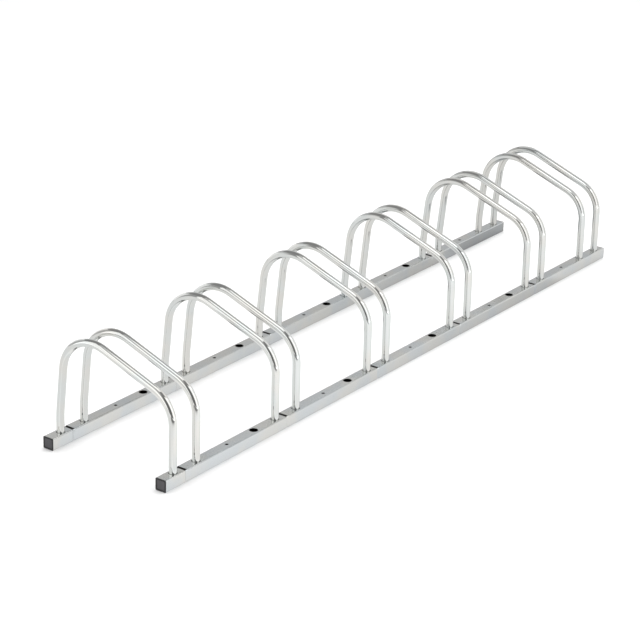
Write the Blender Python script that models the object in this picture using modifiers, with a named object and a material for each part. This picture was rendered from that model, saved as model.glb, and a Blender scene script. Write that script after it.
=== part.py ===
"""Six-place bicycle floor rack: plug-together square rails carrying six pairs of bent hoops.

The frame is in metres with +Z up. The origin is on the floor under the middle of the rack.
X runs along the rails, the hoops are tall at the back rail (+Y) and low at the front rail (-Y).
"""
import math

import bmesh
import bpy
from mathutils import Matrix, Quaternion, Vector

MM = 0.001

# Layout along and across the rack
PLACES = 6                      # pairs of hoops, each holding one wheel
PITCH = 309 * MM                # from one pair to the next
HOOP_SPACING = 67 * MM          # between the two hoops of a pair, centre to centre
RAIL_SPACING = 280 * MM         # between the centre lines of the two rails
NEAR_MARGIN = 34 * MM           # from the first hoop hole to the rail's near end
FAR_MARGIN = 27 * MM            # from the last hoop hole to the rail's far end
END_MARGIN = 21 * MM            # from a section's last hoop hole to the joint beside it

# Square rail tube and the swaged spigot that plugs one section into the next
RAIL_SIZE = 25 * MM
RAIL_WALL = 1.5 * MM
INNER_CORNER = 0.7 * MM         # radius inside the tube's long corners
SWAGE_LENGTH = 6.7 * MM         # sloping shoulder where the tube narrows to the spigot
BARE_NECK = 0.3 * MM            # straight spigot left showing between two sections
SPIGOT_GAP = 0.3 * MM           # between a spigot and the tube round it
SPIGOT_TO_PLUG = 4 * MM         # from a spigot's tip to the plug of the near end's cap

# Bent hoop tube, its outline given by the centre line
HOOP_TUBE = 16 * MM
HOOP_WALL = 1.5 * MM
BACK_CORNER_HEIGHT = 260 * MM   # where the lines of the back leg and the slope meet
BACK_LEAN = 20 * MM             # how far that corner stands in from the back rail
FRONT_CORNER_HEIGHT = 165 * MM  # where the slope meets the line of the front leg
KNEE_HEIGHT = 62 * MM           # where the back leg starts to lean in
BACK_RADIUS = 77 * MM
FRONT_RADIUS = 67 * MM
KNEE_RADIUS = 260 * MM
HOOP_PLUG = 12 * MM             # threaded plug welded into each foot

# Holes in the rails
LEG_GAP = 0.3 * MM              # round a hoop leg, in rail and spigot
FIXING_HOLE = 6.5 * MM          # for a floor screw, through both walls
FIXING_OFFSET = 92 * MM         # from the second hoop of a pair to the floor screw's hole

# Countersunk hoop screw and the seat pressed for it into the rail's bottom wall
SCREW_SIZE = 6 * MM
SCREW_HEAD = 12 * MM
SCREW_LENGTH = 14 * MM
SCREW_RECESS = 0.3 * MM         # the head's face stands this far above the floor
SCREW_GAP = 0.3 * MM
SEAT_EDGE = 0.1 * MM            # blunted off the top of the seat's cone
FOOT_GAP = 0.3 * MM             # between a leg's foot and the seat

# Black end caps
CAP_THICKNESS = 0.9 * MM        # of the flange
CAP_RIM = 3.2 * MM
CAP_DISH = 0.5 * MM
CAP_SEAT_GAP = 0.3 * MM         # between the cap's flange and the tube's end
CAP_PLUG_GAP = 0.3 * MM         # between the cap's ribs and the tube's inside
CAP_PLUG_WALL = 2 * MM
CAP_PLUG_DEPTH = 8 * MM
CAP_PLUG_FLOOR = 1.5 * MM       # left between the plug's hollow and the flange
CAP_RIB_HEIGHT = 0.6 * MM
CAP_RIBS = 2

# Facets
HOOP_SIDES = 10
BORE_SIDES = 6
BEND_STEP = math.radians(20)
LEG_HOLE_SIDES = 12
SCREW_SIDES = 8
CORNER_SEGMENTS = 1

# Sizes that follow from the ones above
NECK_LENGTH = SWAGE_LENGTH + BARE_NECK
BODY_LENGTH = PITCH - NECK_LENGTH
LAST_BODY_LENGTH = BODY_LENGTH + FAR_MARGIN - END_MARGIN
RAIL_LENGTH = NEAR_MARGIN + (PLACES - 1) * PITCH + FAR_MARGIN
RAIL_START = -RAIL_LENGTH / 2
OUTER_CORNER = INNER_CORNER + RAIL_WALL
TUBE_INSIDE = RAIL_SIZE - 2 * RAIL_WALL
SPIGOT_SIZE = TUBE_INSIDE - 2 * SPIGOT_GAP
SPIGOT_INSERT = END_MARGIN + NEAR_MARGIN - CAP_PLUG_DEPTH - SPIGOT_TO_PLUG
HEAD_HEIGHT = (SCREW_HEAD - SCREW_SIZE) / 2
SEAT_RADIUS = SCREW_HEAD / 2 + SCREW_RECESS + SCREW_GAP * math.sqrt(2)
SCREW_HOLE = SCREW_SIZE / 2 + SCREW_GAP
SEAT_TOP = SEAT_RADIUS - SCREW_HOLE - SEAT_EDGE
SEAT_WALL = RAIL_WALL * math.sqrt(2)
FOOT_HEIGHT = SEAT_TOP + FOOT_GAP


def clear_scene():
    """Remove every object, mesh, curve and collection that the file opened with."""
    for item in list(bpy.data.objects):
        bpy.data.objects.remove(item, do_unlink=True)
    for collection in list(bpy.data.collections):
        bpy.data.collections.remove(collection)


def add_collection(name):
    collection = bpy.data.collections.new(name)
    bpy.context.scene.collection.children.link(collection)
    return collection


def add_material(name, colour, roughness, metallic):
    material = bpy.data.materials.new(name)
    material.use_nodes = True
    shader = material.node_tree.nodes["Principled BSDF"]
    shader.inputs["Base Color"].default_value = (*colour, 1.0)
    shader.inputs["Roughness"].default_value = roughness
    shader.inputs["Metallic"].default_value = metallic
    return material


clear_scene()
RACK = add_collection("bicycle_rack")
CUTTERS = add_collection("rack_cutters")
RAIL_ZINC = add_material("rail_zinc", (0.62, 0.64, 0.65), 0.24, 1.0)
HOOP_ZINC = add_material("hoop_zinc", (0.70, 0.71, 0.70), 0.18, 1.0)
SCREW_ZINC = add_material("screw_zinc", (0.60, 0.61, 0.60), 0.30, 1.0)
CAP_PLASTIC = add_material("cap_plastic", (0.018, 0.018, 0.019), 0.45, 0.0)


def add_object(name, data, collection):
    item = bpy.data.objects.new(name, data)
    collection.objects.link(item)
    return item


def baked(item):
    """The evaluated shape of an object as a new mesh, welded, and the object removed."""
    bpy.context.view_layer.update()
    graph = bpy.context.evaluated_depsgraph_get()
    mesh = bpy.data.meshes.new_from_object(item.evaluated_get(graph))
    mesh.transform(item.matrix_world)
    shape = bmesh.new()
    shape.from_mesh(mesh)
    bmesh.ops.remove_doubles(shape, verts=shape.verts, dist=0.001 * MM)
    shape.to_mesh(mesh)
    shape.free()
    bpy.data.objects.remove(item, do_unlink=True)
    return mesh


def add_tools(name):
    """A collection for the solids that one Boolean adds or takes away."""
    tools = bpy.data.collections.new(name)
    CUTTERS.children.link(tools)
    return tools


def cut_or_join(item, tools, operation):
    """Add one exact Boolean that takes every solid of a tool collection."""
    for tool in tools.objects:
        tool.hide_render = True
        tool.display_type = "WIRE"
    step = item.modifiers.new(tools.name, "BOOLEAN")
    step.operation = operation
    step.solver = "EXACT"
    step.operand_type = "COLLECTION"
    step.collection = tools


def turned(name, profile, sides, place, collection):
    """A solid of revolution about Z from (radius, height) points, from its top to its bottom."""
    shape = bmesh.new()
    corners = [shape.verts.new((radius, 0, height)) for radius, height in profile]
    for first, second in zip(corners, corners[1:]):
        shape.edges.new((first, second))
    item = add_object(name, finished(shape, name), collection)
    item.location = (*place, 0)
    spin = item.modifiers.new("turn", "SCREW")
    spin.steps = sides
    spin.render_steps = sides
    spin.use_merge_vertices = True
    spin.merge_threshold = 0.001 * MM
    spin.use_smooth_shade = False
    return item


def pin(name, radius, low, high, sides, place, collection):
    """A plain vertical cylinder between two heights."""
    profile = [(0, high), (radius, high), (radius, low), (0, low)]
    return turned(name, profile, sides, place, collection)


def finished(shape, name):
    mesh = bpy.data.meshes.new(name)
    shape.to_mesh(mesh)
    shape.free()
    return mesh


def end_face(shape, direction):
    """The face that lies furthest along X, or furthest back with a direction of -1."""
    return max(shape.faces, key=lambda face: direction * face.calc_center_median().x)


def stepped_face(shape, face, advance, size):
    """Extrude an end face along X and bring it to a given width about the rail's axis."""
    grown = bmesh.ops.extrude_discrete_faces(shape, faces=[face])["faces"][0]
    verts = list(grown.verts)
    width = max(vert.co.y for vert in verts) - min(vert.co.y for vert in verts)
    scale = size / width
    axis = Matrix.Translation((0, 0, -RAIL_SIZE / 2))
    bmesh.ops.translate(shape, verts=verts, vec=(advance, 0, 0))
    bmesh.ops.scale(shape, verts=verts, vec=(1, scale, scale), space=axis)
    return grown


def rounded_bar(start, end, size, corner):
    """A solid square bar along X on the rail's axis, with rounded long edges."""
    shape = bmesh.new()
    bmesh.ops.create_cube(shape, size=1)
    bmesh.ops.scale(shape, verts=shape.verts, vec=(end - start, size, size))
    bmesh.ops.translate(shape, verts=shape.verts, vec=((start + end) / 2, 0, RAIL_SIZE / 2))
    level = [edge for edge in shape.edges if edge.verts[0].co.yz == edge.verts[1].co.yz]
    bmesh.ops.bevel(shape, geom=level, offset=corner, offset_type="OFFSET",
                    segments=CORNER_SEGMENTS, profile=0.5, affect="EDGES")
    return shape


def rail_bar(name, length, with_spigot, inset, collection):
    """The rail's outline, or its inside when inset by the wall and reaching past both ends."""
    near = 0 if with_spigot else -inset
    shape = rounded_bar(near, length + inset, RAIL_SIZE - 2 * inset, OUTER_CORNER - inset)
    if with_spigot:
        size = SPIGOT_SIZE - 2 * inset
        shoulder = stepped_face(shape, end_face(shape, -1), -SWAGE_LENGTH, size)
        stepped_face(shape, shoulder, -BARE_NECK - SPIGOT_INSERT - inset, size)
    return add_object(name, finished(shape, name), collection)


def seat_radius(height):
    """Radius of the seat's 90 degree countersink at a height above the floor."""
    return SEAT_RADIUS - height


def hole_radius(radius, gap, sides):
    """Corner radius of a faceted hole whose flat sides keep the gap to a round of that radius."""
    return (radius + gap) / math.cos(math.pi / sides)


def rail_mesh(name, length, leg_holes, fixing_holes, with_spigot):
    """One piece of rail, with its near end at x = 0 and its holes at the given distances."""
    inside = add_tools(name + "_inside")
    seats = add_tools(name + "_seats")
    holes = add_tools(name + "_holes")
    rail = rail_bar(name, length, with_spigot, 0, RACK)
    rail_bar(name + "_bore", length, with_spigot, RAIL_WALL, inside)
    middle = RAIL_SIZE / 2
    below = -RAIL_WALL
    above = RAIL_SIZE + RAIL_WALL
    low = RAIL_WALL / 2
    press = [(0, SEAT_TOP), (seat_radius(SEAT_TOP) + SEAT_WALL, SEAT_TOP),
             (seat_radius(low) + SEAT_WALL, low), (0, low)]
    sink = [(0, middle), (SCREW_HOLE, middle), (SCREW_HOLE, SEAT_RADIUS - SCREW_HOLE),
            (seat_radius(below), below), (0, below)]
    leg_hole = hole_radius(HOOP_TUBE / 2, LEG_GAP, LEG_HOLE_SIDES)
    for x in leg_holes:
        turned("press", press, SCREW_SIDES, (x, 0), seats)
        turned("sink", sink, SCREW_SIDES, (x, 0), holes)
        pin("leg_hole", leg_hole, middle, above, LEG_HOLE_SIDES, (x, 0), holes)
    for x in fixing_holes:
        pin("fixing_hole", FIXING_HOLE / 2, below, above, SCREW_SIDES, (x, 0), holes)
    if with_spigot:
        x = -NECK_LENGTH - END_MARGIN
        seat_hole = hole_radius(seat_radius(RAIL_WALL) + SEAT_WALL, SPIGOT_GAP, LEG_HOLE_SIDES)
        pin("spigot_hole", leg_hole, middle, above, LEG_HOLE_SIDES, (x, 0), holes)
        pin("spigot_seat_hole", seat_hole, below, middle, LEG_HOLE_SIDES, (x, 0), holes)
    cut_or_join(rail, inside, "DIFFERENCE")
    cut_or_join(rail, seats, "UNION")
    cut_or_join(rail, holes, "DIFFERENCE")
    mesh = baked(rail)
    mesh.materials.append(RAIL_ZINC)
    return mesh


def rounded_path(corners, radii, step):
    """Points along straight lines whose inner corners are arcs of the given radii."""
    points = [Vector(corners[0])]
    for before, corner, after, radius in zip(corners, corners[1:], corners[2:], radii):
        back = (Vector(before) - Vector(corner)).normalized()
        ahead = (Vector(after) - Vector(corner)).normalized()
        turn = math.pi - back.angle(ahead)
        centre = Vector(corner) + (back + ahead).normalized() * radius / math.cos(turn / 2)
        start = Vector(corner) + back * radius * math.tan(turn / 2) - centre
        finish = Vector(corner) + ahead * radius * math.tan(turn / 2) - centre
        axis = start.cross(finish)
        pieces = math.ceil(turn / step)
        for piece in range(pieces + 1):
            points.append(centre + Quaternion(axis, turn * piece / pieces) @ start)
    points.append(Vector(corners[-1]))
    return points


def hoop_path(foot):
    """The hoop's centre line in the YZ plane, from the back foot to the front foot."""
    corners = [
        (0, RAIL_SPACING / 2, foot),
        (0, RAIL_SPACING / 2, KNEE_HEIGHT),
        (0, RAIL_SPACING / 2 - BACK_LEAN, BACK_CORNER_HEIGHT),
        (0, -RAIL_SPACING / 2, FRONT_CORNER_HEIGHT),
        (0, -RAIL_SPACING / 2, foot),
    ]
    return rounded_path(corners, (KNEE_RADIUS, BACK_RADIUS, FRONT_RADIUS), BEND_STEP)


def bent_tube(name, points, radius, sides, collection):
    """A filled round tube along a path, as a plain mesh object."""
    curve = bpy.data.curves.new(name, "CURVE")
    curve.dimensions = "3D"
    curve.bevel_depth = radius
    curve.bevel_resolution = (sides - 4) // 2
    curve.use_fill_caps = True
    line = curve.splines.new("POLY")
    line.points.add(len(points) - 1)
    for target, point in zip(line.points, points):
        target.co = (*point, 1)
    return add_object(name, baked(add_object(name + "_path", curve, CUTTERS)), collection)


def hoop_mesh():
    """A hollow bent hoop whose feet are closed by threaded plugs."""
    inside = add_tools("hoop_inside")
    hoop = bent_tube("hoop", hoop_path(FOOT_HEIGHT), HOOP_TUBE / 2, HOOP_SIDES, RACK)
    bore_radius = HOOP_TUBE / 2 - HOOP_WALL
    bent_tube("bore", hoop_path(FOOT_HEIGHT + HOOP_PLUG), bore_radius, BORE_SIDES, inside)
    cut_or_join(hoop, inside, "DIFFERENCE")
    threads = add_tools("hoop_threads")
    high = FOOT_HEIGHT + HOOP_PLUG + HOOP_WALL
    for side in (-1, 1):
        pin("thread", SCREW_HOLE, 0, high, SCREW_SIDES, (0, side * RAIL_SPACING / 2), threads)
    cut_or_join(hoop, threads, "DIFFERENCE")
    mesh = baked(hoop)
    mesh.materials.append(HOOP_ZINC)
    return mesh


def screw_mesh():
    """A countersunk screw standing on its head."""
    tip = SCREW_RECESS + SCREW_LENGTH
    neck = SCREW_RECESS + HEAD_HEIGHT
    profile = [(0, tip), (SCREW_SIZE / 2, tip), (SCREW_SIZE / 2, neck),
               (SCREW_HEAD / 2, SCREW_RECESS), (0, SCREW_RECESS)]
    mesh = baked(turned("screw", profile, SCREW_SIDES, (0, 0), RACK))
    mesh.materials.append(SCREW_ZINC)
    return mesh


def cap_mesh():
    """A push-in cap for an end at x = 0: its flange stands at -X and its ribbed plug at +X."""
    rib = TUBE_INSIDE - 2 * CAP_PLUG_GAP
    core = rib - 2 * CAP_RIB_HEIGHT
    hollow = core - 2 * CAP_PLUG_WALL
    shape = rounded_bar(-CAP_SEAT_GAP - CAP_THICKNESS, -CAP_SEAT_GAP, RAIL_SIZE, OUTER_CORNER)
    dish = stepped_face(shape, end_face(shape, -1), 0, RAIL_SIZE - 2 * CAP_RIM)
    stepped_face(shape, dish, CAP_DISH, RAIL_SIZE - 2 * CAP_RIM - CAP_DISH)
    plug = stepped_face(shape, end_face(shape, 1), 0, core)
    rise = (CAP_SEAT_GAP + CAP_PLUG_DEPTH) / (3 * CAP_RIBS)
    for _ in range(CAP_RIBS):
        plug = stepped_face(shape, plug, rise, core)
        plug = stepped_face(shape, plug, 0, rib)
        plug = stepped_face(shape, plug, rise, rib)
        plug = stepped_face(shape, plug, rise, core)
    plug = stepped_face(shape, plug, 0, hollow)
    stepped_face(shape, plug, CAP_PLUG_FLOOR - CAP_PLUG_DEPTH, hollow)
    bmesh.ops.recalc_face_normals(shape, faces=shape.faces)
    mesh = finished(shape, "cap")
    mesh.materials.append(CAP_PLASTIC)
    return mesh


def hoop_positions():
    """Name and x of each hoop: the last pair stands in the last section's spare and end holes."""
    first = RAIL_START + NEAR_MARGIN
    places = []
    for number in range(PLACES - 1):
        places.append((f"{number + 1}a", first + number * PITCH))
        places.append((f"{number + 1}b", first + number * PITCH + HOOP_SPACING))
    last = first + (PLACES - 1) * PITCH
    places.append((f"{PLACES}a", last - HOOP_SPACING))
    places.append((f"{PLACES}b", last))
    return places


def build_rack():
    root = add_object("bicycle_rack", None, RACK)
    end_hole = BODY_LENGTH - END_MARGIN
    second_hole = HOOP_SPACING - END_MARGIN - NECK_LENGTH
    leg_holes = (second_hole, end_hole - HOOP_SPACING, end_hole)
    fixing_holes = (second_hole + FIXING_OFFSET,)
    section = rail_mesh("section", BODY_LENGTH, leg_holes, fixing_holes, True)
    last_section = rail_mesh("last_section", LAST_BODY_LENGTH, leg_holes, fixing_holes, True)
    starter = rail_mesh("starter", NEAR_MARGIN + END_MARGIN, (NEAR_MARGIN,), (), False)
    hoop = hoop_mesh()
    screw = screw_mesh()
    cap = cap_mesh()
    for mesh in (section, last_section, starter, hoop, screw, cap):
        mesh.shade_smooth()
        mesh.set_sharp_from_angle(angle=math.radians(40))

    def place(name, mesh, location, turn=0.0):
        item = add_object(name, mesh, RACK)
        item.location = location
        item.rotation_euler = (0, 0, turn)
        item.parent = root

    for rail, y in (("front", -RAIL_SPACING / 2), ("back", RAIL_SPACING / 2)):
        place(f"{rail}_near_cap", cap, (RAIL_START, y, 0))
        place(f"{rail}_far_cap", cap, (RAIL_START + RAIL_LENGTH, y, 0), math.pi)
        place(f"{rail}_rail_end", starter, (RAIL_START, y, 0))
        for number in range(1, PLACES):
            start = RAIL_START + NEAR_MARGIN + (number - 1) * PITCH + END_MARGIN + NECK_LENGTH
            mesh = last_section if number == PLACES - 1 else section
            place(f"{rail}_rail_{number}", mesh, (start, y, 0))
        for label, x in hoop_positions():
            place(f"{rail}_screw_{label}", screw, (x, y, 0))
    for label, x in hoop_positions():
        place(f"hoop_{label}", hoop, (x, 0, 0))
    for tool in list(CUTTERS.all_objects):
        bpy.data.objects.remove(tool, do_unlink=True)
    bpy.context.view_layer.update()
    print(f"rack: {len(RACK.objects) - 1} pieces")


build_rack()
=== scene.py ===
# %% [markdown]
# # A floor rack for six bicycles
#
# The rack is bought as a flat box of zinc-plated steel. Two square rails are plugged together
# from short sections, twelve bent tubes stand in them as six pairs of hoops, and each pair
# takes one front wheel. This script dresses the plain model of the rack: it keeps every size
# and place, and makes the fine surface that the plain model lacks.

# %% Load the plain model as a fixed frame
import math

import bmesh
import bpy
from mathutils import Matrix, Vector


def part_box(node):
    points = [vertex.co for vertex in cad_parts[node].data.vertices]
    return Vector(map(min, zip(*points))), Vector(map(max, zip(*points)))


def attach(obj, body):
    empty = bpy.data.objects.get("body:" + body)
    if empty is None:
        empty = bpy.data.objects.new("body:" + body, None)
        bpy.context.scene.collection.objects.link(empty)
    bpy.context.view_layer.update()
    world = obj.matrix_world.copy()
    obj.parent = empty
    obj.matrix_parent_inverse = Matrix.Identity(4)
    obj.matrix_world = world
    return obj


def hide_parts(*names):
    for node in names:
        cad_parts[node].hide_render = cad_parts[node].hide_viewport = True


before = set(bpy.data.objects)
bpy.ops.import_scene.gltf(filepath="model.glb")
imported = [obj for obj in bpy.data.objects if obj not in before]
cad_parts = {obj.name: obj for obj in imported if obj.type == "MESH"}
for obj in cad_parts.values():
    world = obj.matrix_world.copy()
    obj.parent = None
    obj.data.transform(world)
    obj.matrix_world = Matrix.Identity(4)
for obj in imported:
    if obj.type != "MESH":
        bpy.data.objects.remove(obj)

MM = 0.001
SCENE = bpy.context.scene
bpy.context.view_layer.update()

# %% [markdown]
# ## Reading the places from the frame
#
# Nothing is placed by eye. The plain model already says where each hoop, rail section, cap and
# screw is, so the script asks it. A set of names such as hoop_1a to hoop_6b gives a list of
# points, and those points later carry the copies of one finely made piece.

# %% Ask the frame for places


def middle(name):
    low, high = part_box(name)
    return (Vector(low) + Vector(high)) / 2


def names_with(word):
    return sorted(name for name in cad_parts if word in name)


HOOPS = names_with("hoop_")
SECTIONS = [name for name in names_with("_rail_") if not name.endswith("_end")]
SHORT_PIECES = names_with("_rail_end")
CAPS = names_with("_cap")
SCREWS = names_with("_screw_")
RAIL_Y = {side: middle(f"{side}_rail_1").y for side in ("front", "back")}
print(len(HOOPS), "hoops,", len(SECTIONS), "sections,", len(CAPS), "caps,", len(SCREWS), "screws")
print("the rails' middles lie at", {side: round(y, 4) for side, y in RAIL_Y.items()})

# %% [markdown]
# ## The camera
#
# The photograph was taken from far away with a long lens: the far hoops are hardly smaller than
# the near ones. The lens, the direction and the distance below are the ones at which the model's
# tubes, holes and rail ends fall on the photograph's. The camera also leans by a degree and a
# half, which is common in a hand-levelled studio shot.

# %% Set the camera
AZIMUTH, ELEVATION, LEAN = (math.radians(angle) for angle in (-54.126, 22.257, 1.637))
AIM = Vector((0.05532, 0.13055, 0.0))
DISTANCE = 4.9225
SENSOR_WIDTH = 36               # mm, the full frame of a studio camera
PICTURE_WIDTH = 640             # pixels
FOCAL_LENGTH = 2244.6           # in the same pixels
back = Vector((math.sin(AZIMUTH) * math.cos(ELEVATION), -math.cos(AZIMUTH) * math.cos(ELEVATION),
               math.sin(ELEVATION)))
level = Vector((math.cos(AZIMUTH), math.sin(AZIMUTH), 0.0))
upright = back.cross(level)
right = level * math.cos(LEAN) + upright * math.sin(LEAN)
upward = upright * math.cos(LEAN) - level * math.sin(LEAN)
lens = bpy.data.cameras.new("studio_camera")
lens.sensor_fit = "HORIZONTAL"
lens.sensor_width = SENSOR_WIDTH
lens.lens = SENSOR_WIDTH * FOCAL_LENGTH / PICTURE_WIDTH
lens.clip_end = 100
camera = bpy.data.objects.new("studio_camera", lens)
pose = Matrix((right, upward, back)).transposed().to_4x4()
pose.translation = AIM + back * DISTANCE
camera.matrix_world = pose
SCENE.collection.objects.link(camera)
SCENE.camera = camera
spot = [round(value, 3) for value in pose.translation]
print("camera at", spot, "with a", round(lens.lens, 1), "mm lens")

# %% [markdown]
# ## One function for nodes
#
# Materials, the world and Geometry Nodes are all trees of nodes. One small function adds a node
# of any kind, sets its properties, and fills each input with a value or with a link from
# another node. The rest of the lesson reads as a list of such calls.

# %% Add a node with its settings and links


def add_node(tree, kind, inputs=None, **settings):
    node = tree.nodes.new(kind)
    for name, value in settings.items():
        setattr(node, name, value)
    for key, value in (inputs or {}).items():
        if isinstance(value, bpy.types.NodeSocket):
            tree.links.new(value, node.inputs[key])
        else:
            node.inputs[key].default_value = value
    return node


def linear(hex_colour):
    """An sRGB colour such as C8CBCA as linear red, green, blue and alpha."""
    parts = [int(hex_colour[at:at + 2], 16) / 255 for at in (0, 2, 4)]
    levels = [part / 12.92 if part <= 0.04045 else ((part + 0.055) / 1.055) ** 2.4
              for part in parts]
    return (*levels, 1.0)


print("a mid grey 808080 is", round(linear("808080")[0], 3), "in linear light")

# %% [markdown]
# ## Bright zinc plating
#
# The steel is electroplated with zinc, about 8 micrometres thick, and then dipped in a clear
# blue passivation. That leaves a shiny metal, neither mirror nor satin, whose grey drifts
# between faintly blue and faintly straw over a hand's width, with fine lines along the tube
# from drawing it through a die. Zinc has no colour of its own apart from its grey, so nearly
# all that the eye sees is the studio: the white floor below and the darker room around.
#
# A pattern could be painted on, but it would have to be unwrapped round every bend. Noise in
# three dimensions needs no unwrapping. On the straight rails it reads the Object coordinates.
# On the hoops it reads an attribute called straight, which holds where each point was on the
# tube before it was bent, so that the lines follow the bends as they do on real tube.

# %% Make the zinc and bare steel finishes
DRAW_LINE = 1.2 * MM            # real die lines are some 0.1 mm apart, which would not show
LINE_LENGTH = 90 * MM
LINE_DEPTH = 0.1 * MM           # the most that a line can look deep, at a strength of 1
SMOOTHER, ROUGHER = 0.02, 0.03  # what a line takes from the roughness, or adds to it
CLOUD = 70 * MM                 # patches of the passivation
NEXT_COPY = 0.731               # metres that the pattern moves on from one copy to the next


def zinc_finish(name, straw, blue, roughness, line_strength, on_hoops):
    material = bpy.data.materials.new(name)
    material.use_nodes = True
    tree = material.node_tree
    shader = tree.nodes["Principled BSDF"]
    if on_hoops:
        place = add_node(tree, "ShaderNodeAttribute", attribute_name="straight").outputs["Vector"]
    else:
        place = add_node(tree, "ShaderNodeTexCoord").outputs["Object"]
    copy = add_node(tree, "ShaderNodeAttribute", attribute_name="copy").outputs["Fac"]
    shift = add_node(tree, "ShaderNodeCombineXYZ", {"X": copy, "Y": copy, "Z": copy})
    apart = add_node(tree, "ShaderNodeVectorMath", {0: shift.outputs[0], "Scale": NEXT_COPY},
                     operation="SCALE")
    own = add_node(tree, "ShaderNodeVectorMath", {0: place, 1: apart.outputs[0]},
                   operation="ADD").outputs[0]
    per_metre = (1 / LINE_LENGTH, 1 / DRAW_LINE, 1 / DRAW_LINE)
    stretched = add_node(tree, "ShaderNodeVectorMath", {0: own, 1: per_metre}, operation="MULTIPLY")
    lines = add_node(tree, "ShaderNodeTexNoise",
                     {"Vector": stretched.outputs[0], "Scale": 1.0, "Detail": 3.0})
    cloud = add_node(tree, "ShaderNodeTexNoise",
                     {"Vector": own, "Scale": 1 / CLOUD, "Detail": 2.0})
    tint = add_node(tree, "ShaderNodeMapRange",
                    {"Value": cloud.outputs[0], "From Min": 0.35, "From Max": 0.65},
                    interpolation_type="SMOOTHSTEP")
    colour = add_node(tree, "ShaderNodeMix",        # its inputs 6 and 7 are the two colours
                      {0: tint.outputs[0], 6: linear(straw), 7: linear(blue)}, data_type="RGBA")
    rough = add_node(tree, "ShaderNodeMapRange",
                     {"Value": lines.outputs[0], "From Min": 0.3, "From Max": 0.7,
                      "To Min": roughness - SMOOTHER, "To Max": roughness + ROUGHER})
    bump = add_node(tree, "ShaderNodeBump",
                    {"Height": lines.outputs[0], "Strength": line_strength, "Distance": LINE_DEPTH})
    tree.links.new(colour.outputs[2], shader.inputs["Base Color"])
    tree.links.new(rough.outputs[0], shader.inputs["Roughness"])
    tree.links.new(bump.outputs[0], shader.inputs["Normal"])
    shader.inputs["Metallic"].default_value = 1.0
    return material


# The rails have a soft sheen with faint lines. The hoops are polished before plating, and are
# close to a mirror. The screws are tumbled in a barrel, which dulls them. The bath hardly
# reaches inside the tubes, so the steel there is dark and looks black through a hole. The same
# dark finish goes on top of the squeezed shoulder as painted shade, the shadow in the seam.
ZINC_RAIL = zinc_finish("zinc_plated_square_tube", "D7D7D4", "D0D4D6", 0.14, 0.06, False)
ZINC_HOOP = zinc_finish("zinc_plated_round_tube", "E1E0DC", "DDE0DF", 0.08, 0.01, True)
ZINC_SCREW = zinc_finish("zinc_plated_screw", "C8C7C2", "BFC4C6", 0.3, 0.12, False)
BARE_STEEL_AND_SEAM_SHADE = zinc_finish("bare_steel_inside_tube", "24211F", "2E2C2A", 0.6, 0.12, False)
print("finishes:", ZINC_RAIL.name, ZINC_HOOP.name, ZINC_SCREW.name, BARE_STEEL_AND_SEAM_SHADE.name)

# %% [markdown]
# ## Black polyethylene caps
#
# Each rail end is closed by an injection-moulded cap of black polyethylene. The moulding has a
# polished rim and a recessed panel with a spark-eroded grain. The grain is a fine noise used as
# bump, with a rougher finish, and the panel's colour is a lighter grey than the rim's, which is
# a painted sheen for the light that the grain scatters. The panel is picked out by its own
# material slot.

# %% Make the two cap finishes
GRAIN = 0.35 * MM               # the real grain is nearer 0.1 mm, which would not show
GRAIN_DEPTH = 0.05 * MM
RUBBED_PATCH = 9 * MM           # handling leaves patches that are a little more or less shiny
RUBBED_CHANGE = 0.06
POLYETHYLENE_IOR = 1.51


def plastic_finish(name, colour, roughness, bump_strength):
    material = bpy.data.materials.new(name)
    material.use_nodes = True
    tree = material.node_tree
    shader = tree.nodes["Principled BSDF"]
    place = add_node(tree, "ShaderNodeTexCoord").outputs["Object"]
    grain = add_node(tree, "ShaderNodeTexNoise",
                     {"Vector": place, "Scale": 1 / GRAIN, "Detail": 2.0})
    rub = add_node(tree, "ShaderNodeTexNoise",
                   {"Vector": place, "Scale": 1 / RUBBED_PATCH, "Detail": 2.0})
    bump = add_node(tree, "ShaderNodeBump", {"Height": grain.outputs[0], "Strength": bump_strength,
                                             "Distance": GRAIN_DEPTH})
    rough = add_node(tree, "ShaderNodeMapRange",
                     {"Value": rub.outputs[0], "To Min": roughness - RUBBED_CHANGE,
                      "To Max": roughness + RUBBED_CHANGE})
    tree.links.new(bump.outputs[0], shader.inputs["Normal"])
    tree.links.new(rough.outputs[0], shader.inputs["Roughness"])
    shader.inputs["Base Color"].default_value = linear(colour)
    shader.inputs["IOR"].default_value = POLYETHYLENE_IOR
    return material


# The panel is painted lighter than the rim: a painted sheen for the light that its grain scatters.
CAP_RIM_BLACK = plastic_finish("black_polyethylene_polished", "1A1A1C", 0.32, 0.1)
CAP_PANEL_GRAIN_AND_PAINTED_SHEEN = plastic_finish("black_polyethylene_grained", "4C4B4E", 0.6, 0.6)
print("finishes:", CAP_RIM_BLACK.name, CAP_PANEL_GRAIN_AND_PAINTED_SHEEN.name)

# %% [markdown]
# ## Setting out copies with Geometry Nodes
#
# A factory makes one hoop and then eleven more. Geometry Nodes do the same: Instance on Points
# stands a copy of one piece on every point of a mesh, and Realize Instances turns the copies
# into real geometry. Each copy also gets a number, stored as an attribute, so that the zinc's
# patches differ from copy to copy. A second attribute turns a copy round, for the caps that
# face the other way.

# %% Build the tree that sets out copies


def new_tree(name, sockets):
    tree = bpy.data.node_groups.new(name, "GeometryNodeTree")
    tree.interface.new_socket("Geometry", in_out="INPUT", socket_type="NodeSocketGeometry")
    for label, kind in sockets.items():
        tree.interface.new_socket(label, in_out="INPUT", socket_type=kind)
    tree.interface.new_socket("Geometry", in_out="OUTPUT", socket_type="NodeSocketGeometry")
    return tree, tree.nodes.new("NodeGroupInput").outputs, tree.nodes.new("NodeGroupOutput").inputs


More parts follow.
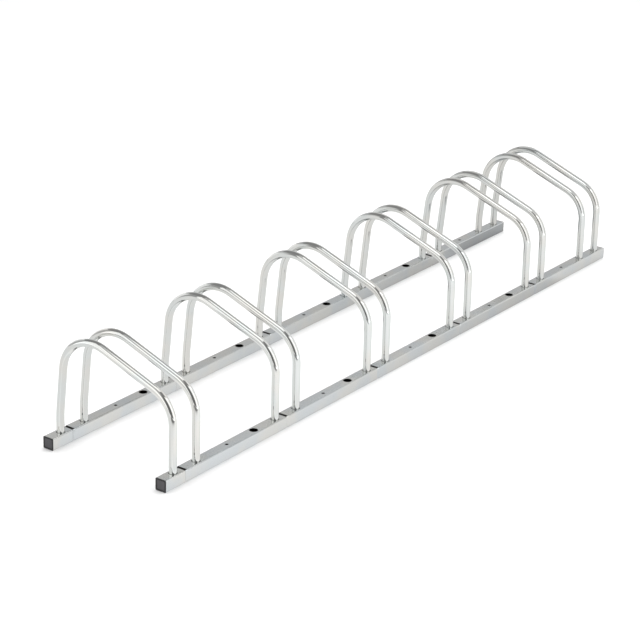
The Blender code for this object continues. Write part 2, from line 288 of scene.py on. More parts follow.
def set_out_tree():
    tree, given, result = new_tree("set_out_copies", {
        "Piece": "NodeSocketObject", "Finish": "NodeSocketMaterial",
        "Second Finish": "NodeSocketMaterial"})
    piece = add_node(tree, "GeometryNodeObjectInfo", {"Object": given["Piece"]})
    turn = add_node(tree, "GeometryNodeInputNamedAttribute", {"Name": "turn"}, data_type="FLOAT")
    rotation = add_node(tree, "ShaderNodeCombineXYZ", {"Z": turn.outputs[0]})
    copies = add_node(tree, "GeometryNodeInstanceOnPoints",
                      {"Points": given["Geometry"], "Instance": piece.outputs["Geometry"],
                       "Rotation": rotation.outputs[0]})
    number = add_node(tree, "GeometryNodeInputIndex")
    numbered = add_node(tree, "GeometryNodeStoreNamedAttribute",
                        {"Geometry": copies.outputs[0], "Name": "copy", "Value": number.outputs[0]},
                        data_type="FLOAT", domain="INSTANCE")
    real = add_node(tree, "GeometryNodeRealizeInstances", {"Geometry": numbered.outputs[0]})
    finish = add_node(tree, "GeometryNodeSetMaterial",
                      {"Geometry": real.outputs[0], "Material": given["Finish"]})
    marked = add_node(tree, "GeometryNodeInputNamedAttribute", {"Name": "second_finish"},
                      data_type="BOOLEAN")
    second = add_node(tree, "GeometryNodeSetMaterial",
                      {"Geometry": finish.outputs[0], "Selection": marked.outputs[0],
                       "Material": given["Second Finish"]})
    tree.links.new(second.outputs[0], result[0])
    return tree


SET_OUT = set_out_tree()
print("tree", SET_OUT.name, "has", len(SET_OUT.nodes), "nodes")

# %% [markdown]
# A tree does its work through a modifier on some host mesh. The next helper puts the modifier
# on, fills its named inputs by their identifiers, evaluates it once, and keeps the result as a
# plain mesh. What is left is an ordinary object at the origin, which any program can read.

# %% Run a tree and keep a plain mesh


def add_object(name, mesh):
    item = bpy.data.objects.new(name, mesh)
    SCENE.collection.objects.link(item)
    return item


def grown(name, tree, host_mesh, values):
    host = add_object(name, host_mesh)
    modifier = host.modifiers.new("grow", "NODES")
    modifier.node_group = tree
    for item in tree.interface.items_tree:
        if item.in_out == "INPUT" and item.name in values:
            modifier[item.identifier] = values[item.name]
    graph = bpy.context.evaluated_depsgraph_get()
    mesh = bpy.data.meshes.new_from_object(
        host.evaluated_get(graph), preserve_all_data_layers=True, depsgraph=graph)
    host.modifiers.remove(modifier)
    host.data = mesh
    return host


def points_mesh(name, points, turns=None):
    mesh = bpy.data.meshes.new(name)
    mesh.from_pydata([tuple(point) for point in points], [], [])
    turn = mesh.attributes.new("turn", "FLOAT", "POINT")
    turn.data.foreach_set("value", turns or [0.0] * len(points))
    return mesh


def mark_second(mesh, is_second):
    """Mark the faces that take the second finish, by a test on the face."""
    marks = mesh.attributes.new("second_finish", "BOOLEAN", "FACE")
    marks.data.foreach_set("value", [bool(is_second(face)) for face in mesh.polygons])


def set_out(name, pattern, points, finishes, nodes, turns=None):
    """Stand a copy of the pattern on each point, in place of the plain nodes."""
    piece = grown(name, SET_OUT, points_mesh(name, points, turns),
                  {"Piece": pattern, "Finish": finishes[0], "Second Finish": finishes[-1]})
    bpy.data.objects.remove(pattern, do_unlink=True)
    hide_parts(*nodes)
    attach(piece, "root")
    print(f"{name}: {len(points)} copies, {len(piece.data.polygons)} faces")
    return piece


# %% [markdown]
# ## The bent hoops
#
# A hoop is one length of 16 mm tube put through a bender three times: a slight knee just above
# the back rail, the big bend at the top, and the one above the front rail. A designer draws it
# as a line with corners and gives each corner a radius. Fillet Curve does exactly that, and
# Curve to Mesh then sweeps a circle along the line. The alternative, a chain of cylinders and
# torus pieces, would need fitting at every joint.
#
# Two values are caught on the way: the length along the line, and each point's place on the
# circle. Together they are the attribute straight, which the zinc finish reads.

# %% Build the tree that bends a tube


def bend_tree():
    tree, given, result = new_tree("bend_a_tube", {
        "Tube Diameter": "NodeSocketFloat", "Steps per Bend": "NodeSocketInt",
        "Sides": "NodeSocketInt", "Finish": "NodeSocketMaterial"})
    line = add_node(tree, "GeometryNodeMeshToCurve", {"Mesh": given["Geometry"]})
    radius = add_node(tree, "GeometryNodeInputNamedAttribute", {"Name": "bend_radius"},
                      data_type="FLOAT")
    bent = add_node(tree, "GeometryNodeFilletCurve",
                    {"Curve": line.outputs[0], "Count": given["Steps per Bend"],
                     "Radius": radius.outputs[0]}, mode="POLY")
    length = add_node(tree, "GeometryNodeSplineParameter")
    measured = add_node(tree, "GeometryNodeCaptureAttribute")
    measured.capture_items.new("FLOAT", "Length")
    tree.links.new(bent.outputs[0], measured.inputs["Geometry"])
    tree.links.new(length.outputs["Length"], measured.inputs["Length"])
    tube_radius = add_node(tree, "ShaderNodeMath", {0: given["Tube Diameter"], 1: 0.5},
                           operation="MULTIPLY")
    circle = add_node(tree, "GeometryNodeCurvePrimitiveCircle",
                      {"Resolution": given["Sides"], "Radius": tube_radius.outputs[0]})
    spot = add_node(tree, "GeometryNodeInputPosition")
    around = add_node(tree, "GeometryNodeCaptureAttribute")
    around.capture_items.new("VECTOR", "Spot")
    tree.links.new(circle.outputs[0], around.inputs["Geometry"])
    tree.links.new(spot.outputs[0], around.inputs["Spot"])
    tube = add_node(tree, "GeometryNodeCurveToMesh",
                    {"Curve": measured.outputs["Geometry"],
                     "Profile Curve": around.outputs["Geometry"], "Fill Caps": True})
    parts = add_node(tree, "ShaderNodeSeparateXYZ", {0: around.outputs["Spot"]})
    before = add_node(tree, "ShaderNodeCombineXYZ",
                      {"X": measured.outputs["Length"], "Y": parts.outputs[0],
                       "Z": parts.outputs[1]})
    marked = add_node(tree, "GeometryNodeStoreNamedAttribute",
                      {"Geometry": tube.outputs[0], "Name": "straight", "Value": before.outputs[0]},
                      data_type="FLOAT_VECTOR", domain="POINT")
    smooth = add_node(tree, "GeometryNodeSetShadeSmooth", {"Geometry": marked.outputs[0]})
    real = add_node(tree, "GeometryNodeRealizeInstances", {"Geometry": smooth.outputs[0]})
    plated = add_node(tree, "GeometryNodeSetMaterial",
                      {"Geometry": real.outputs[0], "Material": given["Finish"]})
    tree.links.new(plated.outputs[0], result[0])
    return tree


BEND = bend_tree()
print("tree", BEND.name, "has", len(BEND.nodes), "nodes")

# %% [markdown]
# The host mesh of this tree is only five corners and the four lines between them, from the
# foot in the back rail to the foot in the front rail. The top corner stands a little forward of
# the back rail, so the back leg leans forward above its knee. Corners and radii are those of
# the plain model, so the fine hoop fills the same space as the plain one.

# %% Bend one hoop and set out twelve
HOOP_TUBE = 16 * MM
KNEE_HEIGHT = 62 * MM
BACK_CORNER_HEIGHT = 260 * MM
BACK_LEAN = 20 * MM
FRONT_CORNER_HEIGHT = 165 * MM
BEND_RADII = (0.0, 260 * MM, 77 * MM, 67 * MM, 0.0)
STEPS_PER_BEND = 24
TUBE_SIDES = 32
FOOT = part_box(HOOPS[0])[0][2]
HOOP_CORNERS = [
    (0, RAIL_Y["back"], FOOT),
    (0, RAIL_Y["back"], KNEE_HEIGHT),
    (0, RAIL_Y["back"] - BACK_LEAN, BACK_CORNER_HEIGHT),
    (0, RAIL_Y["front"], FRONT_CORNER_HEIGHT),
    (0, RAIL_Y["front"], FOOT),
]
outline = bpy.data.meshes.new("hoop_outline")
outline.from_pydata(HOOP_CORNERS, [(0, 1), (1, 2), (2, 3), (3, 4)], [])
outline.attributes.new("bend_radius", "FLOAT", "POINT").data.foreach_set("value", BEND_RADII)
one_hoop = grown("one_hoop", BEND, outline,
                 {"Tube Diameter": HOOP_TUBE, "Steps per Bend": STEPS_PER_BEND,
                  "Sides": TUBE_SIDES, "Finish": ZINC_HOOP})
set_out("hoops", one_hoop, [(middle(name).x, 0, 0) for name in HOOPS], (ZINC_HOOP,),
        HOOPS)

# %% [markdown]
# ## The square rails
#
# A rail is square tube with walls of 1.5 mm. Its long corners are round, because the tube was
# rolled from strip. One end of each section is squeezed down until it slides into its
# neighbour, and the hoop's leg goes through both and pins them. The shape is made as a tool
# maker would describe it: a rounded bar, minus a thinner bar for the inside, plus a pressed
# cone under each leg, minus the drilled holes.

# %% Shape bars along X
RAIL_SIZE = 25 * MM
RAIL_WALL = 1.5 * MM
OUTER_CORNER = 2.2 * MM
CORNER_STEPS = 6
SPIGOT_CLEARANCE = 0.3 * MM     # on each side, so that the sections slide together
SPIGOT_SIZE = RAIL_SIZE - 2 * (RAIL_WALL + SPIGOT_CLEARANCE)


def end_face(shape, direction):
    return max(shape.faces, key=lambda face: direction * face.calc_center_median().x)


def stepped_face(shape, face, advance, size):
    """Extrude an end face along X and bring it to a given width about the rail's axis."""
    new_face = bmesh.ops.extrude_discrete_faces(shape, faces=[face])["faces"][0]
    corners = list(new_face.verts)
    width = max(corner.co.y for corner in corners) - min(corner.co.y for corner in corners)
    scale = size / width
    axis = Matrix.Translation((0, 0, -RAIL_SIZE / 2))
    bmesh.ops.translate(shape, verts=corners, vec=(advance, 0, 0))
    bmesh.ops.scale(shape, verts=corners, vec=(1, scale, scale), space=axis)
    return new_face


def rounded_bar(start, end, size, corner):
    shape = bmesh.new()
    bmesh.ops.create_cube(shape, size=1)
    bmesh.ops.scale(shape, verts=shape.verts, vec=(end - start, size, size))
    bmesh.ops.translate(shape, verts=shape.verts, vec=((start + end) / 2, 0, RAIL_SIZE / 2))
    long_edges = [edge for edge in shape.edges if edge.verts[0].co.yz == edge.verts[1].co.yz]
    bmesh.ops.bevel(shape, geom=long_edges, offset=corner, offset_type="OFFSET",
                    segments=CORNER_STEPS, profile=0.5, affect="EDGES")
    return shape


def finished(shape, name):
    mesh = bpy.data.meshes.new(name)
    shape.to_mesh(mesh)
    shape.free()
    return mesh


print("a rail's inside is", round((RAIL_SIZE - 2 * RAIL_WALL) / MM, 1), "mm across")

# %% [markdown]
# The squeezed end does not step down at once. The die leaves a sloping shoulder that eases
# out of one size and into the other, so the next cell walks along the shoulder in small steps.
# Each size is mostly a straight slope, with a little of a cosine that rounds its two ends.

# %% Shape the squeezed end
SHOULDER = 6.7 * MM
BARE_NECK = 0.3 * MM            # the stretch of spigot that shows at each joint
SECTION_ENDS = {number: (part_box(f"front_rail_{number}")[0][0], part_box(f"front_rail_{number}")[1][0])
                for number in (1, 2, 5)}
SECTION_LENGTH = SECTION_ENDS[2][1] - SECTION_ENDS[1][1] - SHOULDER - BARE_NECK
SPIGOT_TIP = SECTION_ENDS[2][1] - SECTION_ENDS[2][0] - SECTION_LENGTH
LAST_LENGTH = SECTION_ENDS[5][1] - SECTION_ENDS[5][0] - SPIGOT_TIP
SHOULDER_STEPS = 8
SLOPE_SHARE, COSINE_SHARE = 0.7, 0.3
STRAIGHT_EDGE = 0.6 * MM        # a short loop that keeps the shading of the long faces flat


def section_bar(length, inset):
    """A section's outside, or its inside when inset by the wall and made longer at both ends."""
    shape = rounded_bar(STRAIGHT_EDGE, length + inset, RAIL_SIZE - 2 * inset, OUTER_CORNER - inset)
    face = stepped_face(shape, end_face(shape, -1), -STRAIGHT_EDGE, RAIL_SIZE - 2 * inset)
    for step in range(1, SHOULDER_STEPS + 1):
        reach = step / SHOULDER_STEPS
        ease = SLOPE_SHARE * reach + COSINE_SHARE * (1 - math.cos(math.pi * reach)) / 2
        size = RAIL_SIZE + (SPIGOT_SIZE - RAIL_SIZE) * ease - 2 * inset
        face = stepped_face(shape, face, -SHOULDER / SHOULDER_STEPS, size)
    stepped_face(shape, face, -(SPIGOT_TIP - SHOULDER) - inset, SPIGOT_SIZE - 2 * inset)
    return shape


print("section", round(SECTION_LENGTH / MM, 1), "mm, spigot", round(SPIGOT_TIP / MM, 1), "mm")

# %% [markdown]
# Drills, punches and presses all leave shapes that are round about an upright axis, so one
# helper turns any profile about Z, as a lathe does. A second helper cuts such shapes out of a
# piece or joins them to it, with Blender's exact Boolean, which is slower than the fast one but
# keeps thin walls whole. A third sets the shading: a Boolean leaves long thin triangles on the
# flats, and they show as smears unless the flats are cut off from the rounded faces beside them.

# %% Turn, carve and shade
ROUND_STEPS = 48
SAME_POINT = 0.0005 * MM


def turned(name, profile, x):
    """A solid turned about Z from (radius, height) points, given from its top to its bottom."""
    shape = bmesh.new()
    corners = [shape.verts.new((radius, 0, height)) for radius, height in profile]
    lines = [shape.edges.new(pair) for pair in zip(corners, corners[1:])]
    bmesh.ops.spin(shape, geom=corners + lines, cent=(0, 0, 0), axis=(0, 0, 1), angle=2 * math.pi,
                   steps=ROUND_STEPS, use_duplicate=False)
    bmesh.ops.remove_doubles(shape, verts=shape.verts, dist=SAME_POINT)
    bmesh.ops.recalc_face_normals(shape, faces=shape.faces)
    bmesh.ops.translate(shape, verts=shape.verts, vec=(x, 0, 0))
    return add_object(name, finished(shape, name))


def shade_smooth_but_flats(mesh, sharp_from):
    """Smooth shading that leaves the faces square to an axis exactly flat."""
    shape = bmesh.new()
    shape.from_mesh(mesh)
    for face in shape.faces:
        face.smooth = True
    for edge in shape.edges:
        turn = edge.calc_face_angle(math.pi)
        beside_flat = any(max(map(abs, face.normal)) > 0.99999 for face in edge.link_faces)
        edge.smooth = turn < math.radians(1 if beside_flat else sharp_from)
    shape.to_mesh(mesh)
    shape.free()


def carve(item, tools, operation):
    """Apply one exact Boolean for each tool, and remove the tools."""
    for tool in tools:
        step = item.modifiers.new(tool.name, "BOOLEAN")
        step.operation = operation
        step.solver = "EXACT"
        step.object = tool
    graph = bpy.context.evaluated_depsgraph_get()
    item.data = bpy.data.meshes.new_from_object(item.evaluated_get(graph))
    item.modifiers.clear()
    for tool in tools:
        bpy.data.objects.remove(tool, do_unlink=True)


print("round tools have", ROUND_STEPS, "sides")

# %% [markdown]
# A leg's hole is punched, which draws its edge in, so the edge shines as a thin ring. Under the
# hole the bottom wall is pressed up into a cone with a countersink for the screw. Last, faces
# inside the tube are marked for the bare steel finish, which the bath hardly plates, and faces
# on top of the squeezed shoulder get the same dark finish as painted shade: the shadow in the
# joint, so that it shows as a dark seam.

# %% Drill and press a rail piece
LEG_HOLE = HOOP_TUBE / 2 + 0.8 * MM     # this and the next are radii
FIXING_HOLE = 3.4 * MM
DRAWN_EDGE = 0.4 * MM
DRAWN_STEPS = (0, 18, 36, 54, 72, 90)   # degrees
PUNCH_LIFT = 0.03 * MM                  # keeps the punch clear of the rail's own top face
SEAT_RADIUS = 6.724 * MM                # of the countersink, at the floor
SCREW_HOLE = 3.3 * MM
SEAT_TOP = 3.324 * MM
PRESSED_WALL = RAIL_WALL * math.sqrt(2)
ABOVE, BELOW, HALFWAY = RAIL_SIZE + RAIL_WALL, -RAIL_WALL, RAIL_SIZE / 2


def punch(radius, bottom):
    """A punch's profile, with the rounding that it gives the hole's edge."""
    edge = [(radius + DRAWN_EDGE * (1 - math.sin(turn)),
             RAIL_SIZE + PUNCH_LIFT - DRAWN_EDGE * (1 - math.cos(turn)))
            for turn in map(math.radians, DRAWN_STEPS)]
    return [(0, ABOVE), (radius + DRAWN_EDGE, ABOVE)] + edge + [(radius, bottom), (0, bottom)]


# Inside faces take the bare steel; the shoulder's top takes the same dark finish as painted shade in
# the seam.
def is_inside_or_seam_shade(face):
    """Whether a face of a rail piece is inside its tube, or on top of the squeezed shoulder."""
    half_bore = RAIL_SIZE / 2 - RAIL_WALL + 0.02 * MM
    y, z = face.center.y, face.center.z - RAIL_SIZE / 2
    # the shoulder's top slopes by up to 18 degrees, and nothing else on the spigot does
    on_shoulder = face.center.x < 0 and 0.9 < face.normal.z < 0.9999
    return on_shoulder or (abs(y) < half_bore and abs(z) < half_bore)


def rail_piece(name, outside, inside, legs, fixings, pinned):
    """A hollow bar with a seat and a hole for each leg, fixing holes, and pinned holes."""
    piece = add_object(name, finished(outside, name))
    carve(piece, [add_object(name + "_inside", finished(inside, name + "_inside"))], "DIFFERENCE")
    low = RAIL_WALL / 2
    cone = [(0, SEAT_TOP), (SEAT_RADIUS - SEAT_TOP + PRESSED_WALL, SEAT_TOP),
            (SEAT_RADIUS - low + PRESSED_WALL, low), (0, low)]
    sink = [(0, HALFWAY), (SCREW_HOLE, HALFWAY), (SCREW_HOLE, SEAT_RADIUS - SCREW_HOLE),
            (SEAT_RADIUS + RAIL_WALL, -RAIL_WALL), (0, -RAIL_WALL)]
    carve(piece, [turned("cone", cone, x) for x in legs], "UNION")
    through = [(0, ABOVE), (LEG_HOLE, ABOVE), (LEG_HOLE, BELOW), (0, BELOW)]
    holes = [turned("sink", sink, x) for x in legs]
    holes += [turned("leg_hole", punch(LEG_HOLE, HALFWAY), x) for x in legs]
    holes += [turned("fixing", punch(FIXING_HOLE, BELOW), x) for x in fixings]
    holes += [turned("pinned", through, x) for x in pinned]
    carve(piece, holes, "DIFFERENCE")
    mark_second(piece.data, is_inside_or_seam_shade)
    shade_smooth_but_flats(piece.data, 32)
    print(f"{name}: {len(piece.data.polygons)} faces")
    return piece


print("a leg's hole is", round(2 * LEG_HOLE / MM, 1), "mm across, a fixing hole",
      round(2 * FIXING_HOLE / MM, 1), "mm")

# %% [markdown]
# The holes lie where the hoops stand. A section carries the second hoop of one pair and the
# first of the next, and between them a spare hole for another spacing and a small hole for a
# floor screw. The last pair of hoops stands in the last section's spare and end holes, which is
# why it is closer to its neighbours than the others are to theirs. That section is a few
# millimetres longer at its open end, to leave room for the cap's plug.

# %% Make the sections and the short end pieces
HOOP_X = {name: middle(name).x for name in HOOPS}
NEAR_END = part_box("front_rail_end")[0][0]
SECTION_START = SECTION_ENDS[1][1] - SECTION_LENGTH
FIXING_OFFSET = 92 * MM         # from the second hoop's hole to the fixing hole
second_hole = HOOP_X["hoop_1b"] - SECTION_START
end_hole = HOOP_X["hoop_2a"] - SECTION_START
spare_hole = end_hole - (HOOP_X["hoop_1b"] - HOOP_X["hoop_1a"])
for piece_name, length in (("rail_sections", SECTION_LENGTH), ("rail_last_sections", LAST_LENGTH)):
    nodes = [name for name in SECTIONS if name.endswith("5") == (length == LAST_LENGTH)]
    section = rail_piece("one_of_" + piece_name,
                         section_bar(length, 0), section_bar(length, RAIL_WALL),
                         (second_hole, spare_hole, end_hole), (second_hole + FIXING_OFFSET,),
                         (HOOP_X["hoop_1a"] - SECTION_START,))
    points = [(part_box(name)[0][0] + SPIGOT_TIP, middle(name).y, 0) for name in nodes]
    set_out(piece_name, section, points, (ZINC_RAIL, BARE_STEEL_AND_SEAM_SHADE), nodes)

short_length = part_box("front_rail_end")[1][0] - NEAR_END
short_piece = rail_piece("one_short_piece",
                         rounded_bar(0, short_length, RAIL_SIZE, OUTER_CORNER),
                         rounded_bar(-RAIL_WALL, short_length + RAIL_WALL,
                                     RAIL_SIZE - 2 * RAIL_WALL, OUTER_CORNER - RAIL_WALL),
                         (HOOP_X["hoop_1a"] - NEAR_END,), (), ())
set_out("rail_end_pieces", short_piece, [(NEAR_END, middle(name).y, 0) for name in SHORT_PIECES],
        (ZINC_RAIL, BARE_STEEL_AND_SEAM_SHADE), SHORT_PIECES)

# %% [markdown]
# ## The end caps
#
# The cap's flange covers the tube's cut edge, and a ribbed plug holds it inside. Moulded
# plastic has no sharp edge, so the flange and the recessed panel get a small Bevel, and only
# after that are the faces at the bottom of the recess given the grained finish, painted a
# lighter grey as a painted sheen.

# %% Mould one cap and set out four
CAP_THICKNESS = 0.9 * MM
CAP_GAP = 0.3 * MM
CAP_RIM = 3.2 * MM
CAP_DISH = 0.5 * MM
PLAY_IN_TUBE = 0.6 * MM         # the ribs' clearance, both sides together
RIB_SIZE = RAIL_SIZE - 2 * RAIL_WALL - PLAY_IN_TUBE
RIB_HEIGHT = 0.6 * MM
PLUG_SIZE = RIB_SIZE - 2 * RIB_HEIGHT
PLUG_DEPTH = 8 * MM
PLUG_FLOOR = 1.5 * MM
HOLLOW_MOUTH, HOLLOW_FLOOR = 4 * MM, 4.4 * MM   # how much narrower than the plug the hollow is
MOULDED_EDGE = 0.25 * MM


def moulded_cap():
    shape = rounded_bar(-CAP_GAP - CAP_THICKNESS, -CAP_GAP, RAIL_SIZE, OUTER_CORNER + 0.3 * MM)
    rim = stepped_face(shape, end_face(shape, -1), 0, RAIL_SIZE - 2 * CAP_RIM)
    stepped_face(shape, rim, CAP_DISH, RAIL_SIZE - 2 * CAP_RIM - 1.2 * CAP_DISH)
    plug = stepped_face(shape, end_face(shape, 1), 0, PLUG_SIZE)
    rise = (CAP_GAP + PLUG_DEPTH) / 6
    for advance, size in 2 * ((1, PLUG_SIZE), (0.2, RIB_SIZE), (0.6, RIB_SIZE), (1.2, PLUG_SIZE)):
        plug = stepped_face(shape, plug, rise * advance, size)
    plug = stepped_face(shape, plug, 0, PLUG_SIZE - HOLLOW_MOUTH)
    stepped_face(shape, plug, PLUG_FLOOR - PLUG_DEPTH, PLUG_SIZE - HOLLOW_FLOOR)
    bmesh.ops.recalc_face_normals(shape, faces=shape.faces)
    cap = add_object("one_cap", finished(shape, "one_cap"))
    soft = cap.modifiers.new("moulded_edges", "BEVEL")
    soft.width = MOULDED_EDGE
    soft.segments = 3
    soft.limit_method = "ANGLE"
    soft.angle_limit = math.radians(40)
    graph = bpy.context.evaluated_depsgraph_get()
    cap.data = bpy.data.meshes.new_from_object(cap.evaluated_get(graph))
    cap.modifiers.clear()
    panel_x = -CAP_GAP - CAP_THICKNESS + CAP_DISH
    mark_second(cap.data, lambda face: face.normal.x < -0.99
                and abs(face.center.x - panel_x) < 0.02 * MM)
    cap.data.shade_smooth()
    cap.data.set_sharp_from_angle(angle=math.radians(50))
    return cap


FAR_END = SECTION_ENDS[5][1]
CAP_POINTS = [(FAR_END if "far" in name else NEAR_END, middle(name).y, 0) for name in CAPS]
CAP_TURNS = [math.pi if "far" in name else 0.0 for name in CAPS]
set_out("end_caps", moulded_cap(), CAP_POINTS, (CAP_RIM_BLACK, CAP_PANEL_GRAIN_AND_PAINTED_SHEEN),
        CAPS, CAP_TURNS)

# %% [markdown]
# ## The screws from below
#
# Each leg is held by a countersunk M6 screw that comes up through the rail's bottom wall, so
# nothing of it shows from above. From below there is the flat head with its hexagon socket. A
# profile spun about the axis gives the head, the shank and a few rounded ridges for the thread,
# and a six-sided key cuts the socket.

# %% Turn one screw and set out twenty-four
SCREW_RADIUS = 3 * MM
HEAD_RADIUS = 6 * MM
HEAD_FACE = 0.3 * MM
SCREW_LENGTH = 14 * MM
THREAD_PITCH = 1 * MM
THREAD_DEPTH = 0.5 * MM
TIP_CHAMFER = 0.8 * MM
KEY_WIDTH = 4 * MM              # across the flats of the hexagon
KEY_RADIUS = KEY_WIDTH / 2 / math.cos(math.pi / 6)
KEY_LENGTH = 4 * MM             # half of it reaches into the head


def turned_screw():
    neck = HEAD_FACE + HEAD_RADIUS - SCREW_RADIUS
    tip = HEAD_FACE + SCREW_LENGTH
    ridges = int((tip - neck - 1 * MM) / THREAD_PITCH)
    profile = [(0, tip), (SCREW_RADIUS - TIP_CHAMFER, tip)]
    for ridge in range(ridges):
        top = tip - 0.4 * MM - ridge * THREAD_PITCH
        profile += [(SCREW_RADIUS, top), (SCREW_RADIUS - THREAD_DEPTH, top - THREAD_PITCH / 2)]
    profile += [(SCREW_RADIUS, neck + 0.3 * MM), (SCREW_RADIUS, neck),
                (HEAD_RADIUS, HEAD_FACE + 0.25 * MM), (HEAD_RADIUS - 0.2 * MM, HEAD_FACE),
                (0, HEAD_FACE)]
    screw = turned("one_screw", profile, 0)
    key = bmesh.new()
    bmesh.ops.create_cone(key, cap_ends=True, segments=6, radius1=KEY_RADIUS, radius2=KEY_RADIUS,
                          depth=KEY_LENGTH)
    carve(screw, [add_object("key", finished(key, "key"))], "DIFFERENCE")
    screw.data.shade_smooth()
    screw.data.set_sharp_from_angle(angle=math.radians(35))
    return screw


set_out("hoop_screws", turned_screw(), [(middle(name).x, middle(name).y, 0) for name in SCREWS],
        (ZINC_SCREW,), SCREWS)

# %% [markdown]
# ## The floor
#
# The rack stands on a white studio floor that runs out of sight. In the photograph that floor
# is pure white apart from a thin shadow beside each rail. For the camera the floor is a matt
# white paper, and the light lifts the open part of it just past white while the shadow stays.
#
# The tubes see more of this floor than the camera does. In their reflections it has a soft glow
# of its own: strongest at the near end, where it also brightens beside the rails, weaker toward
# the far end, and dark toward the camera. That dark place is a painted dark patch that only
# reflections see, for the camera sees the paper white there. It is the lower end of the streak
# in each bend.
#
# All of this is painted by place, with a few small helpers that add nodes to whichever tree is
# being built. A soft step eases from one number to another while a value runs between two ends.
# The others do sums, blend two numbers, and tell how far a place lies along a way.

# %% Helpers for painting by place


def soft_step(value, start, full, low=0.0, high=1.0):
    return add_node(tree, "ShaderNodeMapRange",
                    {"Value": value, "From Min": start, "From Max": full, "To Min": low,
                     "To Max": high}, interpolation_type="SMOOTHSTEP").outputs[0]


def maths(operation, *values):
    return add_node(tree, "ShaderNodeMath", dict(enumerate(values)), operation=operation).outputs[0]


def blended(mask, first, second):
    """The first number where the mask is 0, the second where it is 1."""
    return add_node(tree, "ShaderNodeMix", {0: mask, 2: first, 3: second}).outputs[0]


def along(vector, way):
    """How far a place or a direction lies along a way."""
    return add_node(tree, "ShaderNodeVectorMath", {0: vector, 1: way},
                    operation="DOT_PRODUCT").outputs["Value"]


def cleared_tree(owner):
    owner.use_nodes = True
    owner.node_tree.nodes.clear()
    return owner.node_tree


TOWARD_CAMERA, ACROSS_VIEW = (-0.81, -0.59, 0.0), (0.59, -0.81, 0.0)
AWAY_FROM_CAMERA = (0.81, 0.59, 0.0)
print("on the floor the camera's way is", TOWARD_CAMERA)

# %% [markdown]
# The floor is one large square with two shaders added together. The diffuse one is the paper,
# which takes light and shadow. The emission is the glow, and Light Path switches it on only for
# rays that come off shiny metal, so the camera never sees it.

# %% Lay the floor
FLOOR_HALF_SIZE = 30            # this and all places below are in metres
PAPER_WHITE = 0.9
UNDER_REFLECTIONS = 0.25        # the paper's own white as far as reflections see it
# Only in reflections does the floor darken toward the camera, as a painted dark patch; the camera sees
# it white.
DARK_PATCH_REACH = (0.81, 2.08)        # it darkens between these, toward the camera
DARK_PATCH_MIDDLE, DARK_PATCH_SIDES = 0.09, (0.87, 0.47)
RAIL_SHIFT = 0.03               # the bright strips lie this far to the front of the rails
STRIP_STARTS, STRIP_ENDS = (0.1, 0.125), (0.19, 0.165)

shape = bmesh.new()
bmesh.ops.create_grid(shape, x_segments=1, y_segments=1, size=FLOOR_HALF_SIZE)
floor = add_object("floor", finished(shape, "floor"))
floor.location.z = -0.2 * MM
paper = bpy.data.materials.new("white_studio_paper")
tree = cleared_tree(paper)
ray = add_node(tree, "ShaderNodeLightPath").outputs
place = add_node(tree, "ShaderNodeTexCoord").outputs["Object"]
x, y = add_node(tree, "ShaderNodeSeparateXYZ", {0: place}).outputs[:2]

off_middle = maths("ABSOLUTE", maths("SUBTRACT", along(place, ACROSS_VIEW), DARK_PATCH_MIDDLE))
dark_reflection_patch = maths("MULTIPLY", soft_step(along(place, TOWARD_CAMERA), *DARK_PATCH_REACH),
                   soft_step(off_middle, *DARK_PATCH_SIDES))
left_in_reflections = add_node(tree, "ShaderNodeMapRange",
                      {"Value": dark_reflection_patch, "From Max": 0.4, "To Min": 1.0, "To Max": 0.2})

from_rail = maths("ABSOLUTE", maths("ADD", y, RAIL_SHIFT))
strip = maths("MULTIPLY", soft_step(from_rail, *STRIP_STARTS), soft_step(from_rail, *STRIP_ENDS))
far_strip = maths("MULTIPLY", soft_step(x, 0.57, 0.64), maths("MULTIPLY", y, -1.2))
strip = maths("MULTIPLY", strip, maths("ADD", soft_step(x, -0.8, 0.5, 0.14, -0.14), far_strip))
reflected = maths("ADD", soft_step(x, -0.43, 1.62, 0.57, 0.38),
                  soft_step(y, -0.1, -0.36, 0.0, 0.19))
reflected = maths("MULTIPLY", maths("ADD", reflected, strip), left_in_reflections.outputs[0])

glow_level = maths("MULTIPLY", ray["Is Glossy Ray"], reflected)
glow = add_node(tree, "ShaderNodeEmission", {"Color": (1, 1, 1, 1), "Strength": glow_level})
white = blended(ray["Is Glossy Ray"], PAPER_WHITE,
                maths("MULTIPLY", left_in_reflections.outputs[0], UNDER_REFLECTIONS))
matt = add_node(tree, "ShaderNodeBsdfDiffuse", {"Color": white})
both = add_node(tree, "ShaderNodeAddShader", {0: matt.outputs[0], 1: glow.outputs[0]})
add_node(tree, "ShaderNodeOutputMaterial", {"Surface": both.outputs[0]})
floor.data.materials.append(paper)
print("floor", floor.dimensions[:])

# %% [markdown]
# ## The studio around it
#
# What the zinc reflects is most of the picture, so the studio is built as it was: soft boxes at
# real distances, in a grey room with a lighter backdrop behind the rack. A narrow strip hangs
# above the rack and gives the white band along each slope. One large box stands to the left of
# the camera and one to the right, and they give the white on both sides of the dark streak in
# each bend. That streak is the gap between them, where the camera stands. The weaker boxes
# fill the top, the back and the far end.

# %% Hang the soft boxes (in metres and degrees)
SOFT_BOXES = {
    # name: (middle, way it faces round from X, tilt down, width, height, brightness)
    "left": ((-1.82, -0.01, 0.82), -52, -16, 1.84, 1.34, 0.88),
    "right": ((-0.01, -1.59, 0.99), 83, 16, 1.89, 2.03, 1.09),
    "strip": ((-0.4, -0.15, 1.8), -90, 90, 1.19, 0.74, 0.87),
    "front_top": ((0.3, -0.5, 1.27), 90, 77, 0.83, 1.11, 0.62),
    "back": ((-0.1, 0.9, 0.38), -59, 2, 1.38, 0.34, 0.46),
    "back_top": ((1.28, 0.6, 0.99), -90, 82, 1.45, 0.73, 0.37),
    "far_end": ((1.32, -0.53, 0.81), 160, 23, 1.82, 1.67, 0.42),
    "left_top": ((-1.5, 0.01, 1.91), 7, 44, 1.3, 5.23, 0.28),
}


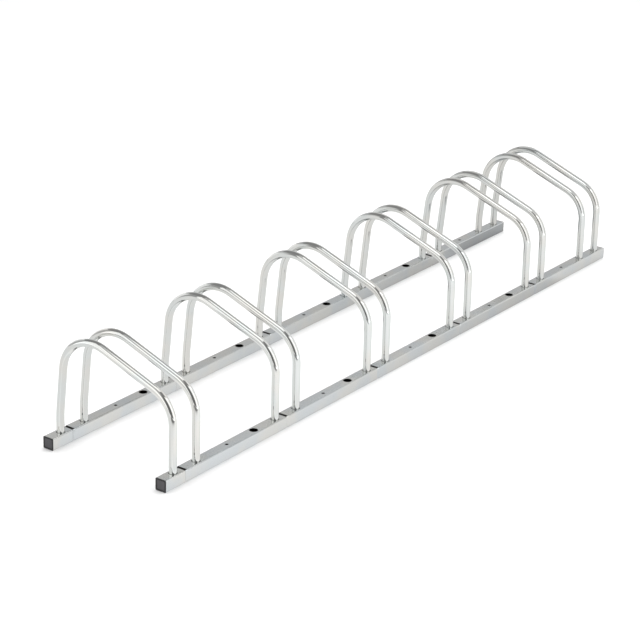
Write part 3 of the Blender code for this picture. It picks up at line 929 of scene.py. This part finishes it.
def hang_soft_box(name, place, facing, tilt, width, height, brightness):
    box = bpy.data.lights.new(name + "_soft_box", "AREA")
    box.shape = "RECTANGLE"
    box.size, box.size_y = width, height
    box.energy = brightness * math.pi * width * height
    item = bpy.data.objects.new(box.name, box)
    item.location = place
    item.rotation_euler = (math.radians(90 - tilt), 0, math.radians(facing - 90))
    item.visible_camera = False
    SCENE.collection.objects.link(item)
    print(f"{box.name}: {width} by {height} m, {box.energy:.1f} W")


for name, numbers in SOFT_BOXES.items():
    hang_soft_box(name, *numbers)

# %% [markdown]
# The rest of the room is the world. In reflections it is grey, lighter low down behind the rack
# and darker behind the camera. For matt surfaces it is an even light, stronger from the back,
# as the white backdrop would give. The camera, and any ray through glass, sees plain white past
# the floor's edge.

# %% Grey room, lighter backdrop
ROOM, BACKDROP, BEHIND_CAMERA = 0.27, 0.59, 0.17
BACKDROP_SPREAD, BACKDROP_TOP = (-0.83, 0.89), (0.565, 0.55)
FRONT_LIGHT, BACK_LIGHT = 0.36, 1.8

world = bpy.data.worlds.new("studio_room")
SCENE.world = world
tree = cleared_tree(world)
direction = add_node(tree, "ShaderNodeTexCoord").outputs["Generated"]
height = add_node(tree, "ShaderNodeSeparateXYZ", {0: direction}).outputs[2]
facing = along(direction, AWAY_FROM_CAMERA)
backdrop = maths("MULTIPLY", soft_step(facing, *BACKDROP_SPREAD), soft_step(height, *BACKDROP_TOP))
room = soft_step(facing, -0.3, -0.8, ROOM, BEHIND_CAMERA)
even_light = soft_step(facing, -0.1, 0.1, FRONT_LIGHT, BACK_LIGHT)
ray = add_node(tree, "ShaderNodeLightPath").outputs
unseen = blended(ray["Is Glossy Ray"], even_light, blended(backdrop, room, BACKDROP))
seen = maths("MAXIMUM", ray["Is Camera Ray"], ray["Is Transmission Ray"])
sky = add_node(tree, "ShaderNodeBackground",
               {"Color": (1, 1, 1, 1), "Strength": blended(seen, unseen, 1.0)})
add_node(tree, "ShaderNodeOutputWorld", {"Surface": sky.outputs[0]})
SCENE.view_settings.view_transform = "Standard"
print("world", world.name, "with a backdrop of", BACKDROP)
